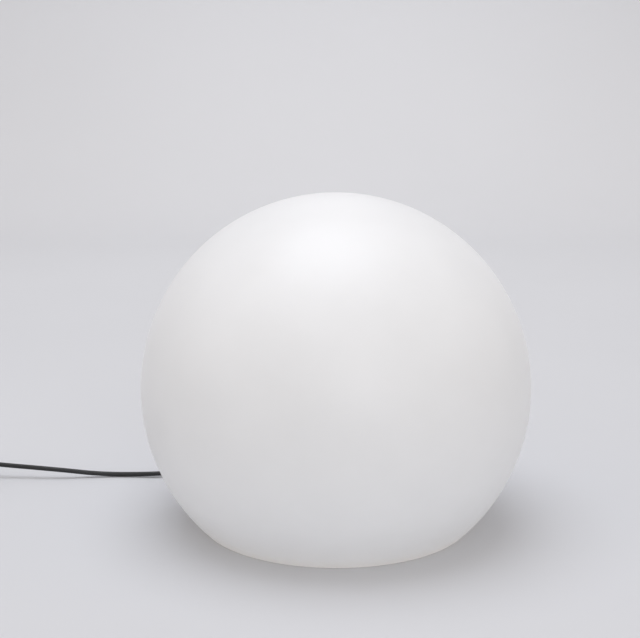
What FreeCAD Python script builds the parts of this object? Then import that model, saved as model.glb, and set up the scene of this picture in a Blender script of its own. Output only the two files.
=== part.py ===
import FreeCAD, Part
import math
import os
import re

import Sketcher

# Garden globe light: an opal polyethylene globe that lifts off a round base pod. The pod stands on
# the ground, carries an E27 lampholder with a screw-in LED bulb, and lets the rubber lead out at the back.
# Millimetres and degrees. Z is up, the origin is on the ground on the globe's axis, the lead leaves
# along +Y and lies to the left, -X, where it is put away in a coil with its plug.

doc = FreeCAD.newDocument("GardenGlobeLight")

driving = {
    # globe
    "globe_radius": 250,
    "centre_height": 178.5,
    "shell_wall": 4,
    "foot_round": 4,
    "recess_radius": 92,
    "recess_depth": 46,
    "channel_half_width": 10,
    "channel_height": 24,
    # neck ring under the globe
    "flange_width": 30.5,
    "lip_wall": 3.5,
    "lip_height": 12,
    "neck_play": 1,
    "flange_gap": 4,
    "flange_thickness": 6,
    "neck_gasket_thickness": 2,
    "neck_gasket_width": 22,
    "neck_screw_inset": 12,
    "neck_screw_count": 6,
    "boss_radius": 6,
    "boss_height": 8,
    "insert_radius": 3.2,
    "insert_length": 9,
    "seat_gasket_thickness": 2,
    "seat_gasket_inset": 6,
    "seat_gasket_width": 20,
    # fasteners
    "m4_radius": 2,
    "m4_head_radius": 3.8,
    "m4_head_height": 2.4,
    "m4_play": 0.2,
    "head_play": 0.5,
    "head_sink": 3,
    "m3_radius": 1.5,
    "m3_head_radius": 2.75,
    "m3_head_height": 2,
    "pole_radius": 1.3,
    "pole_head_radius": 1.8,
    "pole_head_height": 1,
    "slot_width": 0.8,
    "slot_depth": 1.2,
    "neck_screw_length": 12,
    # pod
    "pod_gap": 8,
    "foot_height": 3,
    "pan_floor": 3,
    "pod_wall": 3,
    "pan_gasket_thickness": 1.5,
    "lid_plate": 3,
    "spigot_play": 1.5,
    "spigot_height": 26,
    "post_inset": 12,
    "post_radius": 6.5,
    "post_count": 4,
    "post_angle": 45,
    "lid_boss_length": 10,
    "lid_screw_length": 24,
    "foot_inset": 22,
    "foot_radius": 8,
    "foot_bevel": 1,
    "foot_stem_radius": 3,
    "foot_head_radius": 4.2,
    "foot_count": 3,
    "foot_angle": 30,
    "clip_width": 12,
    "clip_thickness": 0.8,
    "clip_count": 3,
    "clip_reach": 13,
    "clip_screw_inset": 8,
    "clip_play": 0.2,
    "clip_bulge_drop": 2.7,
    "clip_return": 0.6,
    "clip_return_drop": 5.2,
    "clip_bulge": 4.9,
    "clip_screw_length": 6,
    # lead gland in its niche
    "niche_depth": 28,
    "casing_overlap": 1,
    "lead_height": 15,
    "cord_diameter": 6.5,
    "niche_half_width": 13,
    "niche_headroom": 11,
    "gland_across_flats": 15,
    "gland_thread_radius": 6,
    "gland_flange": 5,
    "gland_front_length": 6.5,
    "gland_back_length": 9,
    "gland_washer_thickness": 1.5,
    "gland_washer_radius": 9.5,
    "gland_locknut_thickness": 3.5,
    "gland_nut_hex": 7,
    "gland_nut_cone": 8,
    "cone_overlap": 1,
    "gland_nut_end_radius": 6.2,
    "seal_radius": 5,
    "seal_length": 6,
    "tail_start_radius": 4.6,
    "tail_end_radius": 4.1,
    "tail_length": 25,
    "bore_play": 0.35,
    # cord clamp and terminal block
    "clamp_inset": 25,
    "clamp_length": 9,
    "clamp_half_width": 12,
    "clamp_thickness": 5,
    "clamp_gap": 0.5,
    "clamp_screw_spread": 8,
    "clamp_screw_length": 14,
    "sheath_spare": 11,
    "block_place": -20,
    "block_width": 20,
    "block_length": 16,
    "block_height": 12,
    "pole_spread": 4.5,
    "wire_radius": 1.2,
    "wire_depth": 5,
    "wire_play": 0.1,
    "pole_well": 2,
    "brass_half_side": 2.4,
    "brass_cover": 1,
    "block_screw_length": 14,
    "core_spread": 1.6,
    "core_straight": 9,
    "core_lead": 15,
    "wire_bow_gap": 5,
    "wire_bend": 4,
    "wire_rise": 10,
    "wire_shoulder": 9,
    "wire_dip": 3,
    "wire_entry": 5,
    "wire_lean": 1,
    "wire_exit": 1.5,
    "wire_crest": 2.5,
    # lampholder
    "nipple_radius": 5,
    "nipple_bore_radius": 4,
    "nipple_below": 12,
    "nipple_above": 6,
    "nipple_play": 0.1,
    "locknut_across_flats": 14,
    "locknut_thickness": 3.5,
    "plain_washer_radius": 9,
    "plain_washer_thickness": 1.6,
    "holder_radius": 19.5,
    "holder_wall": 2,
    "holder_foot_radius": 12,
    "holder_floor": 4,
    "holder_cone": 7,
    "cone_step": 1,
    "holder_cap_height": 24,
    "holder_height": 56,
    "holder_mouth_radius": 14.6,
    "core_play": 0.2,
    "core_height": 18,
    "core_recess_radius": 7.5,
    "core_recess_depth": 8,
    "terminal_place": 10.5,
    "terminal_side": 6.8,
    "terminal_height": 7,
    "contact_width": 6,
    "contact_thickness": 0.5,
    "contact_rise": 7,
    "contact_reach": 6.2,
    "contact_tongue": 2.6,
    "contact_bend": 1.2,
    "contact_margin": 1,
    "shell_flange_inner": 8,
    # screw thread of the lampholder and the bulb
    "thread_pitch": 3.629,
    "bulb_thread_radius": 13.15,
    "bulb_core_radius": 12.15,
    "holder_shell_bore": 13.35,
    "holder_rib_radius": 12.45,
    "screw_shell_wall": 0.5,
    "screw_shell_height": 18,
    # bulb
    "bulb_length": 109,
    "bulb_radius": 30.5,
    "tip_radius": 4.6,
    "tip_thickness": 1.5,
    "tip_margin": 0.4,
    "insulator_radius": 10.5,
    "rib_root": 1.9,
    "rib_crest": 1.1,
    "bulb_rib_start": 1.2,
    "bulb_rib_length": 13,
    "holder_rib_root": 1.4,
    "holder_rib_crest": 0.8,
    "holder_rib_length": 11,
    "rib_bite": 0.1,
    "insulator_height": 6.5,
    "bulb_cap_height": 25,
    "bulb_cap_wall": 0.5,
    "bulb_rim_radius": 29.5,
    "bulb_wall": 1.5,
    "bulb_collar_radius": 14,
    "bulb_collar_height": 3,
    "bulb_neck_depth": 8,
    "bulb_rim_height": 4,
    "collar_step": 1,
    "rim_step": 0.5,
    "rim_edge": 1,
    "board_ledge": 3,
    "board_play": 0.1,
    "driver_half_width": 8,
    "driver_depth": 7,
    "driver_can_radius": 5,
    "driver_can_height": 16,
    "driver_can_start": 10,
    "bulb_housing_height": 38,
    "board_thickness": 1.6,
    "chip_circle": 16,
    "chip_count": 12,
    "chip_length": 3.5,
    "chip_width": 2.8,
    "chip_height": 0.7,
    # put-away coil and plug
    "coil_x": -552,
    "coil_y": 119,
    "coil_mid_radius": 35.5,
    "coil_step": 7,
    "coil_layers": 4,
    "coil_turns": 10.25,
    "change_turns": 0.5,
    "coil_straight": 26,
    "end_straight": 16,
    "end_turn": 48,
    "end_level": 20,
    "end_lift": 2,
    "end_shift": 1.5,
    "floor_play": 0.05,
    "plug_start": 30,
    "boot_length": 36,
    "boot_end_radius": 4.2,
    "boot_root_radius": 8,
    "plug_neck_length": 16,
    "plug_body_length": 28,
    "plug_half_width": 17.6,
    "plug_half_height": 12.7,
    "plug_corner": 9,
    "plug_neck_side": 9,
    "plug_neck_corner": 8,
    "pin_radius": 2.4,
    "pin_spread": 9.5,
    "pin_length": 19,
    "pin_root": 10,
    "pin_root_radius": 1.8,
}

sheet = doc.addObject("Spreadsheet::Sheet", "Sizes")
for row, (name, number) in enumerate(driving.items(), 1):
    sheet.set(f"A{row}", name)
    sheet.set(f"B{row}", str(number))
    sheet.setAlias(f"B{row}", name)
doc.recompute()

# Places and sizes that follow from the driving dimensions.
following = {
    "foot_edge": "sqrt(globe_radius ^ 2 - centre_height ^ 2)",
    "inner_radius": "globe_radius - shell_wall",
    "inner_foot_edge": "sqrt(inner_radius ^ 2 - (centre_height - shell_wall) ^ 2)",
    "ceiling_top": "recess_depth + shell_wall",
    "channel_end": "sqrt(globe_radius ^ 2 - (centre_height - channel_roof) ^ 2)",
    "channel_roof": "channel_height + shell_wall",
    "lip_radius": "neck_bore_radius + lip_wall",
    "neck_hole_radius": "lip_radius + neck_play",
    "flange_radius": "recess_radius - flange_gap",
    "neck_bore_radius": "flange_radius - flange_width",
    "neck_gasket_inner": "flange_radius - neck_gasket_width",
    "neck_screw_circle": "flange_radius - neck_screw_inset",
    "seat_gasket_outer": "flange_radius - seat_gasket_inset",
    "seat_gasket_inner": "seat_gasket_outer - seat_gasket_width",
    "flange_top": "recess_depth - neck_gasket_thickness",
    "flange_under": "flange_top - flange_thickness",
    "lip_top": "flange_top + lip_height",
    "m4_hole": "m4_radius + m4_play",
    "head_pocket": "m4_head_radius + head_play",
    "pod_radius": "recess_radius - pod_gap",
    "lid_top": "flange_under - seat_gasket_thickness",
    "lid_under": "lid_top - lid_plate",
    "pan_top": "lid_under - pan_gasket_thickness",
    "pan_under": "foot_height",
    "floor_top": "pan_under + pan_floor",
    "pan_bore": "pod_radius - pod_wall",
    "spigot_radius": "neck_bore_radius - spigot_play",
    "spigot_bore": "spigot_radius - pod_wall",
    "spigot_top": "lid_top + spigot_height",
    "plate_under": "spigot_top - lid_plate",
    "post_circle": "pod_radius - post_inset",
    "foot_circle": "pod_radius - foot_inset",
    "clip_root": "spigot_radius - clip_reach",
    "clip_screw_circle": "spigot_radius - clip_screw_inset",
    "niche_back": "pod_radius - niche_depth",
    "clamp_place": "niche_back - clamp_inset",
    "sheath_end": "clamp_place - sheath_spare",
    "post_top": "lid_under - lid_boss_length",
    "niche_top": "lead_height + niche_headroom",
    "niche_inside": "niche_back - pod_wall",
    "cord_radius": "cord_diameter / 2",
    "flange_start": "niche_back + gland_washer_thickness",
    "flange_end": "flange_start + gland_flange",
    "nut_cone_start": "flange_end + gland_nut_hex",
    "nut_end": "nut_cone_start + gland_nut_cone",
    "tail_end": "nut_end + tail_length",
    "clamp_top": "lead_height + clamp_gap / 2 + clamp_thickness",
    "block_top": "floor_top + block_height",
    "wire_height": "floor_top + block_height / 2",
    "holder_bore": "holder_radius - holder_wall",
    "core_radius": "holder_bore - core_play",
    "holder_ledge": "core_radius - holder_wall",
    "core_under": "spigot_top + holder_floor + holder_cone + holder_wall * 2",
    "core_top": "core_under + core_height",
    "recess_floor": "core_top - core_recess_depth",
    "cap_top": "spigot_top + holder_cap_height",
    "holder_top": "spigot_top + holder_height",
    "tip_level": "recess_floor + contact_rise",
    "insulator_start": "tip_level + tip_thickness",
    "shell_start": "insulator_start + insulator_height - holder_wall",
    "bulb_cap_top": "shell_start + bulb_cap_height - insulator_height",
    "bulb_top": "tip_level + bulb_length",
    "dome_centre": "bulb_top - bulb_radius",
    "rim_top": "bulb_cap_top + bulb_housing_height",
    "board_level": "rim_top - bulb_wall * 2 - board_thickness",
    "dome_seat_radius": "bulb_rim_radius - bulb_wall",
    "dome_edge": "dome_centre - sqrt(bulb_radius ^ 2 - bulb_rim_radius ^ 2)",
    "dome_bore": "bulb_radius - bulb_wall",
    "dome_inner_radius": "dome_seat_radius - bulb_wall",
    "dome_inner_edge": "dome_centre - sqrt(dome_bore ^ 2 - dome_inner_radius ^ 2)",
    "board_top": "board_level + board_thickness",
    "coil_outer_radius": "coil_mid_radius + coil_step * coil_turns / coil_layers / 2",
    "coil_top": "cord_radius + floor_play + coil_step * (coil_layers - 1)",
    "plug_x": "coil_x - coil_outer_radius",
    "bulb_rib_level": "shell_start + bulb_rib_start",
    "holder_rib_level": "bulb_rib_level + rib_root / 2 - thread_pitch / 2 - holder_rib_root / 2",
    "brass_half_length": "block_length / 2 - brass_cover",
    "plug_level": "plug_half_height + floor_play",
    "boot_root": "plug_start - boot_length",
    "plug_neck_end": "boot_root - plug_neck_length",
    "plug_face": "plug_neck_end - plug_body_length",
}


def bound(formula):
    # A formula with every name opened up into cells of the sheet.
    def open_up(match):
        word = match.group(0)
        if word in following:
            return "(" + bound(following[word]) + ")"
        if word in driving:
            return "Sizes." + word
        return word

    return re.sub(r"[A-Za-z_][A-Za-z0-9_]*", open_up, str(formula))


def size(formula):
    return float(sheet.evalExpression(bound(formula)))


def spot(x, y, z):
    return FreeCAD.Vector(size(x), size(y), size(z))


def origin_part(body, role):
    return next(part for part in body.Origin.OriginFeatures if part.Role == role)


def sub_part(label):
    body = doc.addObject("PartDesign::Body", label)
    body.Label = label
    parts.append(body)
    return body


parts = []

# ---- sketches and features -------------------------------------------------------------------


def outline(body, name, corners, plane="XZ_Plane", shift=("0", "0", "0")):
    # A closed outline. A corner is (across, up), or (across, up, radius, turn) when the edge that
    # arrives there is an arc: turn is 1 for anticlockwise and -1 for clockwise.
    sketch = body.newObject("Sketcher::SketchObject", body.Label + "_" + name)
    sketch.AttachmentSupport = [(origin_part(body, plane), "")]
    sketch.MapMode = "FlatFace"
    for axis, formula in zip("xyz", shift):
        sketch.setExpression("AttachmentOffset.Base." + axis, bound(formula))
    spots = [FreeCAD.Vector(size(corner[0]), size(corner[1]), 0) for corner in corners]
    shapes = []
    for index, corner in enumerate(corners):
        start, end = spots[index - 1], spots[index]
        if len(corner) == 2:
            shapes.append(Part.LineSegment(start, end))
        else:
            shapes.append(arc_between(start, end, size(corner[2]), corner[3]))
    sketch.addGeometry(shapes, False)
    ends = [1 if len(corner) == 4 and corner[3] < 0 else 2 for corner in corners]
    rules = []
    formulas = []
    for index, corner in enumerate(corners):
        following_index = (index + 1) % len(corners)
        rules.append(Sketcher.Constraint("Coincident", index, ends[index],
                                         following_index, 3 - ends[following_index]))
        for kind, axis_line, value, formula in (("DistanceX", -2, spots[index].x, corner[0]),
                                                ("DistanceY", -1, spots[index].y, corner[1])):
            if formula == "0":
                rules.append(Sketcher.Constraint("PointOnObject", index, ends[index], axis_line))
            else:
                formulas.append((len(rules), formula))
                rules.append(Sketcher.Constraint(kind, -1, 1, index, ends[index], value))
        if len(corner) == 4:
            formulas.append((len(rules), corner[2]))
            rules.append(Sketcher.Constraint("Radius", index, size(corner[2])))
    sketch.addConstraint(rules)
    for number, formula in formulas:
        sketch.setExpression(f"Constraints[{number}]", bound(formula))
    doc.recompute()
    return sketch


def arc_between(start, end, radius, turn):
    middle = (start + end) / 2
    chord = end - start
    reach = math.sqrt(max(radius ** 2 - (chord.Length / 2) ** 2, 0))
    side = FreeCAD.Vector(-chord.y, chord.x, 0).normalize()
    centre = middle + side * reach * turn
    first, last = (start, end) if turn > 0 else (end, start)
    angles = [math.atan2(point.y - centre.y, point.x - centre.x) for point in (first, last)]
    circle = Part.Circle(centre, FreeCAD.Vector(0, 0, 1), radius)
    return Part.ArcOfCircle(circle, angles[0], angles[1])


def revolve(body, name, corners, plane="XZ_Plane", shift=("0", "0", "0"), axis="V_Axis", cut=False):
    sketch = outline(body, name + "_outline", corners, plane, shift)
    kind = "PartDesign::Groove" if cut else "PartDesign::Revolution"
    feature = body.newObject(kind, body.Label + "_" + name)
    feature.Profile = (sketch, [""])
    feature.ReferenceAxis = (sketch, [axis])
    feature.Angle = 360
    body.Tip = feature
    doc.recompute()
    return feature


def turned(label, corners, **places):
    body = sub_part(label)
    revolve(body, "turning", corners, **places)
    return body


def pad(body, name, corners, length, plane="XY_Plane", shift=("0", "0", "0"), midplane=False, back=False):
    sketch = outline(body, name + "_outline", corners, plane, shift)
    feature = body.newObject("PartDesign::Pad", body.Label + "_" + name)
    feature.Profile = (sketch, [""])
    feature.setExpression("Length", bound(length))
    feature.Midplane = midplane
    feature.Reversed = back
    body.Tip = feature
    doc.recompute()
    return feature


def box(body, name, low, high, cut=False):
    kind = "PartDesign::SubtractiveBox" if cut else "PartDesign::AdditiveBox"
    feature = body.newObject(kind, body.Label + "_" + name)
    for key, axis, start, end in zip(("Length", "Width", "Height"), "xyz", low, high):
        feature.setExpression(key, bound(f"({end}) - ({start})"))
        feature.setExpression("Placement.Base." + axis, bound(start))
    body.Tip = feature
    doc.recompute()
    return feature


def cylinder(body, name, radius, foot, height, along_y=False, cut=False):
    kind = "PartDesign::SubtractiveCylinder" if cut else "PartDesign::AdditiveCylinder"
    feature = body.newObject(kind, body.Label + "_" + name)
    if along_y:
        feature.Placement = FreeCAD.Placement(FreeCAD.Vector(),
                                              FreeCAD.Rotation(FreeCAD.Vector(1, 0, 0), -90))
    feature.setExpression("Radius", bound(radius))
    feature.setExpression("Height", bound(height))
    for axis, formula in zip("xyz", foot):
        feature.setExpression("Placement.Base." + axis, bound(formula))
    body.Tip = feature
    doc.recompute()
    return feature


def around(body, name, features, copies):
    pattern = body.newObject("PartDesign::PolarPattern", body.Label + "_" + name)
    pattern.Originals = features
    pattern.Axis = (origin_part(body, "Z_Axis"), [""])
    pattern.Angle = 360
    pattern.setExpression("Occurrences", bound(copies))
    body.Tip = pattern
    doc.recompute()
    return pattern


def hexagon(across_flats):
    corner = f"({across_flats}) / 2 / cos(30)"
    return [(f"{corner} * cos({60 * side})", f"{corner} * sin({60 * side})" if side % 3 else "0")
            for side in range(6)]


def rounded_block(half_width, half_height, corner):
    inner_width, inner_height = f"({half_width} - {corner})", f"({half_height} - {corner})"
    return [(half_width, inner_height), (inner_width, half_height, corner, 1),
            (f"-{inner_width}", half_height), (f"-{half_width}", inner_height, corner, 1),
            (f"-{half_width}", f"-{inner_height}"), (f"-{inner_width}", f"-{half_height}", corner, 1),
            (inner_width, f"-{half_height}"), (half_width, f"-{inner_height}", corner, 1)]


def round_edges(body, name, radius, wanted):
    base = body.Tip
    edges = [f"Edge{number}" for number, edge in enumerate(base.Shape.Edges, 1) if wanted(edge)]
    feature = body.newObject("PartDesign::Fillet", body.Label + "_" + name)
    feature.Base = (base, edges)
    feature.setExpression("Radius", bound(radius))
    body.Tip = feature
    doc.recompute()
    return feature


def is_circle(edge, radius, level):
    if edge.Degenerated or edge.Curve.TypeId != "Part::GeomCircle":
        return False
    return (abs(edge.Curve.Radius - size(radius)) < 1e-4
            and abs(edge.Curve.Center.z - size(level)) < 1e-4)


def thread(body, name, corners, height):
    sketch = outline(body, name + "_outline", corners)
    feature = body.newObject("PartDesign::AdditiveHelix", body.Label + "_" + name)
    feature.Profile = (sketch, [""])
    feature.ReferenceAxis = (sketch, ["V_Axis"])
    feature.Mode = 0
    feature.setExpression("Pitch", bound("thread_pitch"))
    feature.setExpression("Height", bound(height))
    feature.Angle = 0
    feature.LeftHanded = False
    feature.Reversed = False
    body.Tip = feature
    doc.recompute()
    return feature


def screws(label, metric, length, seat, place, head_down, circle=None, copies=None, angle="0"):
    # Pan-head screws with a cross slot. The head's flat seat is at the level "seat", and the shank
    # points away from the head. Placed on a circle, or at each (x, y) of a list.
    body = sub_part(label)
    shank, head, tall = f"{metric}_radius", f"{metric}_head_radius", f"{metric}_head_height"
    sign = "-" if head_down else "+"
    other = "+" if head_down else "-"
    crown = f"({seat}) {sign} {tall}"
    bowed = f"({seat}) {sign} {tall} * 0.6"
    corners = [("0", crown), (f"{head} * 0.7", crown), (head, bowed), (head, seat),
               (shank, seat), (shank, f"({seat}) {other} ({length})"), ("0", f"({seat}) {other} ({length})")]
    spots = [(circle, "0")] if circle else place
    turnings = [revolve(body, f"turning{number}", corners, shift=(x, "0", f"-({y})"))
                for number, (x, y) in enumerate(spots)]
    if circle:
        around(body, "ring", turnings, copies)
    floor_of_slot = f"({crown}) {other} slot_depth"
    low, high = (crown, floor_of_slot) if head_down else (floor_of_slot, crown)
    slots = []
    for number, (x, y) in enumerate(spots):
        for side, (wide, deep) in enumerate(((f"{head} * 0.55", "slot_width / 2"),
                                             ("slot_width / 2", f"{head} * 0.55"))):
            slots.append(box(body, f"slot{number}{side}", (f"{x} - {wide}", f"{y} - {deep}", low),
                             (f"{x} + {wide}", f"{y} + {deep}", high), cut=True))
    if circle:
        around(body, "slots", slots, copies)
        body.Placement = FreeCAD.Placement(FreeCAD.Vector(),
                                           FreeCAD.Rotation(FreeCAD.Vector(0, 0, 1), size(angle)))
    return body


# ---- tubes -----------------------------------------------------------------------------------


def rounded_route(points, name):
    # Straight runs joined by tangent arcs, each as large as its two runs allow.
    edges = []
    radii = []
    last = points[0]
    for before, corner, after in zip(points, points[1:], points[2:]):
        to_before, to_after = before - corner, after - corner
        turn = math.pi - to_before.getAngle(to_after)
        shorter = min(to_before.Length, to_after.Length)
        leg = 0.45 * shorter
        radii.append(leg / math.tan(turn / 2))
        start = corner + to_before.normalize() * leg
        end = corner + to_after.normalize() * leg
        middle_way = (to_before + to_after).normalize()
        middle = corner + middle_way * radii[-1] * (1 / math.cos(turn / 2) - 1)
        edges.append(Part.LineSegment(last, start).toShape())
        edges.append(Part.Arc(start, middle, end).toShape())
        last = end
    edges.append(Part.LineSegment(last, points[-1]).toShape())
    print(name, "bend radii", [round(radius, 1) for radius in radii])
    return Part.Wire(edges)


def biarc(start, start_way, end, end_way):
    # Two tangent arcs from one point and direction to another.
    gap, ways = end - start, start_way + end_way
    spread = 2 * (1 - start_way.dot(end_way))
    reach = (math.sqrt(gap.dot(ways) ** 2 + 2 * spread * gap.dot(gap) / 2) - gap.dot(ways)) / spread
    joint = (start + end + (start_way - end_way) * reach) / 2
    return [bent_edge(start, start_way, joint), bent_edge(end, end_way * -1, joint)]


def bent_edge(start, way, end):
    chord = end - start
    across = way - chord * (way.dot(chord) / chord.dot(chord))
    angle = way.getAngle(chord)
    middle = start + chord / 2 + across.normalize() * (chord.Length / 2 * math.tan(angle / 2))
    return Part.Arc(start, middle, end).toShape()


def sweep_round(path, radius, name):
    edge = path.OrderedEdges[0]
    way = edge.tangentAt(edge.FirstParameter)
    ring = Part.Wire(Part.makeCircle(radius, edge.valueAt(edge.FirstParameter), way))
    solid = path.makePipeShell([ring], True, False)
    share = solid.Volume / (math.pi * radius ** 2 * path.Length)
    print(f"{name}: length {path.Length:.1f}, volume over section times length {share:.5f}")
    return solid


def feature(label, shape):
    holder = doc.addObject("Part::Feature", label)
    holder.Label = label
    holder.Shape = shape
    parts.append(holder)
    return holder


# ---- the globe -------------------------------------------------------------------------------

# The globe is one hollow moulding: a ball with a flat foot ring, a recess for the pod and a channel
# that leads the cord out at the back.


def make_globe_shell():
    body = sub_part("globe_shell")
    revolve(body, "ball", [
        ("foot_edge", "0"),
        ("0", "centre_height + globe_radius", "globe_radius", 1),
        ("0", "centre_height + inner_radius"),
        ("inner_foot_edge", "shell_wall", "inner_radius", -1),
        ("recess_radius + shell_wall", "shell_wall"),
        ("recess_radius + shell_wall", "ceiling_top"),
        ("neck_hole_radius", "ceiling_top"),
        ("neck_hole_radius", "recess_depth"),
        ("recess_radius", "recess_depth"),
        ("recess_radius", "0"),
    ])
    boss = cylinder(body, "boss", "boss_radius", ("neck_screw_circle", "0", "recess_depth"),
                    "shell_wall + boss_height")
    around(body, "bosses", [boss], "neck_screw_count")
    socket = cylinder(body, "socket", "insert_radius", ("neck_screw_circle", "0", "recess_depth"),
                      "insert_length", cut=True)
    around(body, "sockets", [socket], "neck_screw_count")
    box(body, "channel_casing",
        ("-(channel_half_width + shell_wall)", "recess_radius + shell_wall / 2", "0"),
        ("channel_half_width + shell_wall", "channel_end", "channel_roof"))
    revolve(body, "trim", [
        ("globe_radius", "0"),
        ("globe_radius", "channel_roof * 2"),
        ("sqrt(globe_radius ^ 2 - (centre_height - channel_roof * 2) ^ 2)", "channel_roof * 2"),
        ("foot_edge", "0", "globe_radius", -1),
    ], cut=True)
    round_edges(body, "foot_rounding", "foot_round", lambda edge: is_circle(edge, "foot_edge", "0"))
    box(body, "channel", ("-channel_half_width", "neck_hole_radius", "0"),
        ("channel_half_width", "globe_radius", "channel_height"), cut=True)


def make_neck_ring():
    body = turned("neck_ring", [
        ("neck_bore_radius", "flange_under"),
        ("flange_radius", "flange_under"),
        ("flange_radius", "flange_top"),
        ("lip_radius", "flange_top"),
        ("lip_radius", "lip_top"),
        ("neck_bore_radius", "lip_top"),
    ])
    hole = cylinder(body, "hole", "m4_hole", ("neck_screw_circle", "0", "flange_under"),
                    "flange_thickness", cut=True)
    pocket = cylinder(body, "pocket", "head_pocket", ("neck_screw_circle", "0", "flange_under"),
                      "head_sink", cut=True)
    around(body, "holes", [hole, pocket], "neck_screw_count")


def make_neck_gasket():
    body = turned("neck_gasket", [
        ("neck_gasket_inner", "flange_top"),
        ("flange_radius", "flange_top"),
        ("flange_radius", "recess_depth"),
        ("neck_gasket_inner", "recess_depth"),
    ])
    hole = cylinder(body, "hole", "m4_hole", ("neck_screw_circle", "0", "flange_top"),
                    "neck_gasket_thickness", cut=True)
    around(body, "holes", [hole], "neck_screw_count")


def make_neck_inserts():
    body = sub_part("neck_inserts")
    tube = revolve(body, "tube", [
        ("m4_radius", "recess_depth"),
        ("insert_radius", "recess_depth"),
        ("insert_radius", "recess_depth + insert_length"),
        ("m4_radius", "recess_depth + insert_length"),
    ], shift=("neck_screw_circle", "0", "0"))
    around(body, "ring", [tube], "neck_screw_count")


# ---- the pod ---------------------------------------------------------------------------------


def make_pod_pan():
    body = turned("pod_pan", [
        ("0", "pan_under"),
        ("pod_radius", "pan_under"),
        ("pod_radius", "pan_top"),
        ("pan_bore", "pan_top"),
        ("pan_bore", "floor_top"),
        ("0", "floor_top"),
    ])
    niche_wall = "(niche_half_width + pod_wall)"
    box(body, "niche_casing", (f"-{niche_wall}", "niche_inside", "pan_under"),
        (niche_wall, "sqrt(pan_bore ^ 2 - (niche_half_width + pod_wall) ^ 2) + casing_overlap",
         "niche_top + pod_wall"))
    box(body, "niche", ("-niche_half_width", "niche_back", "0"),
        ("niche_half_width", "recess_radius", "niche_top"), cut=True)
    cylinder(body, "gland_hole", "gland_thread_radius", ("0", "niche_inside", "lead_height"),
             "pod_wall", along_y=True, cut=True)
    post_spot = ("post_circle * cos(post_angle)", "post_circle * sin(post_angle)")
    post = cylinder(body, "post", "post_radius", (*post_spot, "pan_under"), "post_top - pan_under")
    around(body, "posts", [post], "post_count")
    pocket = cylinder(body, "pocket", "head_pocket", (*post_spot, "pan_under"), "head_sink", cut=True)
    hole = cylinder(body, "hole", "m4_hole", (*post_spot, "pan_under"), "post_top - pan_under", cut=True)
    around(body, "post_holes", [pocket, hole], "post_count")
    foot_hole = cylinder(body, "foot_hole", "foot_stem_radius",
                         ("foot_circle * cos(foot_angle)", "foot_circle * sin(foot_angle)",
                          "pan_under"), "pan_floor", cut=True)
    around(body, "foot_holes", [foot_hole], "foot_count")
    half = "clamp_length / 2"
    box(body, "saddle", ("-clamp_half_width", f"clamp_place - {half}", "floor_top - pan_floor / 2"),
        ("clamp_half_width", f"clamp_place + {half}", "lead_height - clamp_gap / 2"))
    cylinder(body, "saddle_groove", "cord_radius", ("0", f"clamp_place - {half}", "lead_height"),
             "clamp_length", along_y=True, cut=True)
    for side, name in (("", "right"), ("-", "left")):
        cylinder(body, "saddle_hole_" + name, "m3_radius",
                 (f"{side}clamp_screw_spread", "clamp_place", "clamp_top - clamp_screw_length"),
                 "clamp_screw_length", cut=True)
    cylinder(body, "block_hole", "m3_radius", ("0", "block_place", "block_top - block_screw_length"),
             "block_screw_length", cut=True)


def make_pod_lid():
    body = turned("pod_lid", [
        ("nipple_radius + nipple_play", "plate_under"),
        ("spigot_bore", "plate_under"),
        ("spigot_bore", "lid_under"),
        ("pod_radius", "lid_under"),
        ("pod_radius", "lid_top"),
        ("spigot_radius", "lid_top"),
        ("spigot_radius", "spigot_top"),
        ("nipple_radius + nipple_play", "spigot_top"),
    ])
    boss_spot = ("post_circle * cos(post_angle)", "post_circle * sin(post_angle)", "post_top")
    boss = cylinder(body, "boss", "post_radius", boss_spot, "lid_boss_length")
    around(body, "bosses", [boss], "post_count")
    pilot = cylinder(body, "pilot", "m4_radius", boss_spot,
                     "pan_under + head_sink + lid_screw_length - post_top", cut=True)
    around(body, "pilots", [pilot], "post_count")
    clip_hole = cylinder(body, "clip_hole", "m3_radius", ("clip_screw_circle", "0", "plate_under"),
                         "lid_plate", cut=True)
    around(body, "clip_holes", [clip_hole], "clip_count")


def make_rings():
    turned("pan_gasket", [
        ("pan_bore", "pan_top"), ("pod_radius", "pan_top"),
        ("pod_radius", "lid_under"), ("pan_bore", "lid_under"),
    ])
    turned("seat_gasket", [
        ("seat_gasket_inner", "lid_top"), ("seat_gasket_outer", "lid_top"),
        ("seat_gasket_outer", "flange_under"), ("seat_gasket_inner", "flange_under"),
    ])


def make_pod_feet():
    body = sub_part("pod_feet")
    foot = revolve(body, "foot", [
        ("0", "0"),
        ("foot_radius - foot_bevel", "0"),
        ("foot_radius", "foot_bevel"),
        ("foot_radius", "pan_under"),
        ("foot_stem_radius", "pan_under"),
        ("foot_stem_radius", "floor_top"),
        ("foot_head_radius", "floor_top"),
        ("foot_stem_radius - foot_bevel", "floor_top + pan_floor"),
        ("0", "floor_top + pan_floor"),
    ], shift=("foot_circle", "0", "0"))
    around(body, "feet", [foot], "foot_count")
    body.Placement = FreeCAD.Placement(FreeCAD.Vector(),
                                       FreeCAD.Rotation(FreeCAD.Vector(0, 0, 1), size("foot_angle")))


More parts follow.
